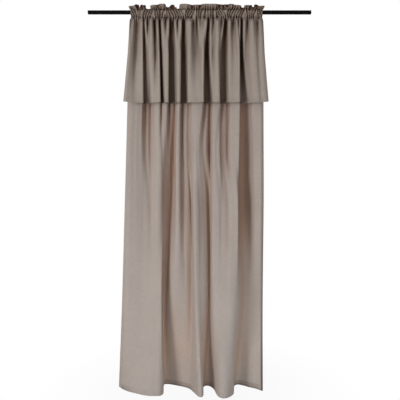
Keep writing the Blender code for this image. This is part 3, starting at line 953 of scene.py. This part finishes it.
def turned(name, profile, look, place, side, steps=96):
    """A shape turned round the rod's axis from (radius, how far out) points."""
    shape = bmesh.new()
    ring = [shape.verts.new((radius, 0.0, out)) for radius, out in profile]
    edges = [shape.edges.new(pair) for pair in zip(ring, ring[1:])]
    if profile[0][0] > 0:
        edges.append(shape.edges.new((ring[-1], ring[0])))
    bmesh.ops.spin(
        shape, geom=ring + edges, cent=(0, 0, 0), axis=(0, 0, 1), angle=2 * math.pi,
        steps=steps, use_merge=True,
    )
    bmesh.ops.remove_doubles(shape, verts=shape.verts, dist=0.00001)
    bmesh.ops.recalc_face_normals(shape, faces=shape.faces)
    mesh = bpy.data.meshes.new(name)
    shape.to_mesh(mesh)
    shape.free()
    turn = Vector((0, 0, 1)).rotation_difference(Vector((side, 0, 0))).to_matrix().to_4x4()
    mesh.transform(turn)
    mesh.transform(Matrix.Translation(place))
    mesh.materials.append(look)
    mesh.shade_smooth()
    mesh.set_sharp_from_angle(angle=math.radians(35))
    return placed(name, mesh)


class CURTAIN_OT_rod(bpy.types.Operator):
    """Make the rod and its end caps"""

    bl_idname = "curtain.rod"
    bl_label = "Rod"

    def execute(self, context):
        sizes, colours = context.scene.curtain_sizes, context.scene.curtain_colours
        low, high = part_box("curtain_rod")
        radius = sizes.rod_diameter / 2
        inner = radius - sizes.rod_wall
        edge = 0.0003
        half = (high.x - low.x) / 2
        tube = [
            (radius - edge, half), (radius, half - edge), (radius, edge - half), (radius - edge, -half),
            (inner, -half), (inner, half),
        ]
        coat = enamel("rod enamel", colours.rod)
        rod = turned("rod_tube", tube, coat, ((high.x + low.x) / 2, 0, 0), 1)
        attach(rod, "root")
        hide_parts("curtain_rod")
        plastic = moulded_plastic("cap plastic", colours.caps)
        for side, node in ((-1, "rod_end_cap_left"), (1, "rod_end_cap_right")):
            spigot = inner - 0.0003
            length = (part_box(node)[1].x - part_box(node)[0].x) - sizes.cap_flange
            profile = [
                (0.0, sizes.cap_flange), (radius - 0.0009, sizes.cap_flange),
                (radius - 0.0003, sizes.cap_flange - 0.0002), (radius, sizes.cap_flange - 0.0008),
                (radius, 0.0003), (spigot, 0.0003), (spigot, 0.005 - length),
                (spigot - 0.0015, -length), (0.0, -length),
            ]
            cap = turned(node + "_plug", profile, plastic, (side * half, 0, 0), side)
            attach(cap, "root")
            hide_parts(node)
        return {"FINISHED"}


class CURTAIN_OT_stage(bpy.types.Operator):
    """Make the floor, the lamps and the camera"""

    bl_idname = "curtain.stage"
    bl_label = "Stage"

    def execute(self, context):
        sizes, stage = context.scene.curtain_sizes, context.scene.curtain_stage
        room = context.scene.curtain_colours.room
        scene = context.scene
        shape = bmesh.new()
        bmesh.ops.create_grid(shape, x_segments=1, y_segments=1, size=6.0)
        mesh = bpy.data.meshes.new("floor")
        shape.to_mesh(mesh)
        shape.free()
        mesh.transform(Matrix.Translation((0, 0, -sizes.panel_drop - stage.floor_gap)))
        mesh.materials.append(pale_floor(room))
        floor = placed("floor", mesh)
        scene.world = bright_room(room, stage.room_light)
        lamp("key", stage.key_power, (-3.2, -3.05, -0.85), (0.0, 0.0, -0.95), (1.3, 2.3))
        lamp("fill", stage.fill_power, (2.2, -2.4, -1.0), (0.0, 0.0, -1.1), (1.5, 1.8))
        lamp("foot", stage.foot_power, (0.4, -1.5, -2.3), (0.0, 0.0, -2.4), (1.6, 0.3), COOL)
        lamp("back", stage.back_power, (-1.2, 2.6, -0.8), (0.0, 0.0, -1.2), (1.5, 2.0))
        data = bpy.data.cameras.new("camera")
        data.sensor_width = 36.0
        data.lens = stage.lens
        data.shift_y = stage.shift
        camera = placed("camera", data)
        camera.location = (stage.aside, -stage.distance, stage.height)
        camera.rotation_euler = (math.pi / 2, 0.0, 0.0)
        scene.camera = camera
        scene.view_settings.view_transform = "Standard"
        return {"FINISHED"}


def seen_directly(tree):
    """1 where the camera, a gloss or a clear surface shows the room, else 0."""
    rays = tree.nodes.new("ShaderNodeLightPath")
    total = rays.outputs["Is Camera Ray"]
    for name in ("Is Glossy Ray", "Is Transmission Ray"):
        add = tree.nodes.new("ShaderNodeMath")
        add.operation = "MAXIMUM"
        tree.links.new(total, add.inputs[0])
        tree.links.new(rays.outputs[name], add.inputs[1])
        total = add.outputs[0]
    return total


def pale_floor(room):
    """A white floor that keeps a faint shadow."""
    look = Look("pale floor", Roughness=0.8)
    place = look.object_place()
    tones = solid(room, FLOOR_TONE - 0.01), solid(room, FLOOR_TONE + 0.01)
    look.finish(look.mix(look.noise(place, 3.0), *tones))
    flat = look.stretched(place, (0.9, 1.0, 0.0))
    away = look.node("ShaderNodeVectorMath", {"operation": "LENGTH"}, (flat,), 1)
    share = 0.93 + 0.07 * ((away - 0.35) * 1.6).clamped()
    shown = Wire(look, seen_directly(look.tree)) * share
    glow = look.node("ShaderNodeEmission", {}, {"Color": solid(room)})
    lit = Wire(look, look.shader.outputs[0])
    surface = look.node("ShaderNodeMixShader", {}, (shown, lit, glow))
    look.tree.links.new(surface.socket, look.tree.nodes["Material Output"].inputs["Surface"])
    return look.material


def bright_room(room, strength):
    """A world that looks white and lights softly."""
    world = bpy.data.worlds.new("room")
    world.use_nodes = True
    tree = world.node_tree
    soft = tree.nodes["Background"]
    soft.inputs["Color"].default_value = solid(room)
    soft.inputs["Strength"].default_value = strength
    seen = tree.nodes.new("ShaderNodeBackground")
    seen.inputs["Color"].default_value = solid(room)
    mixer = tree.nodes.new("ShaderNodeMixShader")
    tree.links.new(seen_directly(tree), mixer.inputs[0])
    tree.links.new(soft.outputs[0], mixer.inputs[1])
    tree.links.new(seen.outputs[0], mixer.inputs[2])
    tree.links.new(mixer.outputs[0], tree.nodes["World Output"].inputs["Surface"])
    return world


def lamp(name, power, place, aim, size, colour=(1.0, 1.0, 1.0)):
    data = bpy.data.lights.new(name, "AREA")
    data.energy = power
    data.color = colour
    data.shape = "RECTANGLE"
    data.size, data.size_y = size
    made = placed(name, data)
    made.location = place
    made.rotation_euler = (Vector(aim) - Vector(place)).to_track_quat("-Z", "Y").to_euler()


class CURTAIN_PT_sidebar(bpy.types.Panel):
    """The curtain's sizes, colours and buttons"""

    bl_idname = "CURTAIN_PT_sidebar"
    bl_label = "Curtain"
    bl_space_type = "VIEW_3D"
    bl_region_type = "UI"
    bl_category = "Curtain"

    def draw(self, context):
        for group in (getattr(context.scene, name) for name in GROUPS):
            box = self.layout.box()
            for name in group.bl_rna.properties.keys():
                if name not in {"rna_type", "name"}:
                    box.prop(group, name)
        for operator in OPERATORS:
            self.layout.operator(operator.bl_idname)


GROUPS = {
    "curtain_sizes": CurtainSizes,
    "curtain_colours": CurtainColours,
    "curtain_stage": CurtainStage,
}
OPERATORS = (CURTAIN_OT_rod, CURTAIN_OT_valance, CURTAIN_OT_panel, CURTAIN_OT_stage)


def register():
    for group in (*GROUPS.values(), *OPERATORS, CURTAIN_PT_sidebar):
        bpy.utils.register_class(group)
    for name, group in GROUPS.items():
        setattr(bpy.types.Scene, name, PointerProperty(type=group))


def unregister():
    for name in GROUPS:
        delattr(bpy.types.Scene, name)
    for group in reversed((*GROUPS.values(), *OPERATORS, CURTAIN_PT_sidebar)):
        bpy.utils.unregister_class(group)


def main():
    register()
    for operator in OPERATORS:
        group, name = operator.bl_idname.split(".")
        getattr(getattr(bpy.ops, group), name)()


if __name__ == "__main__":
    main()
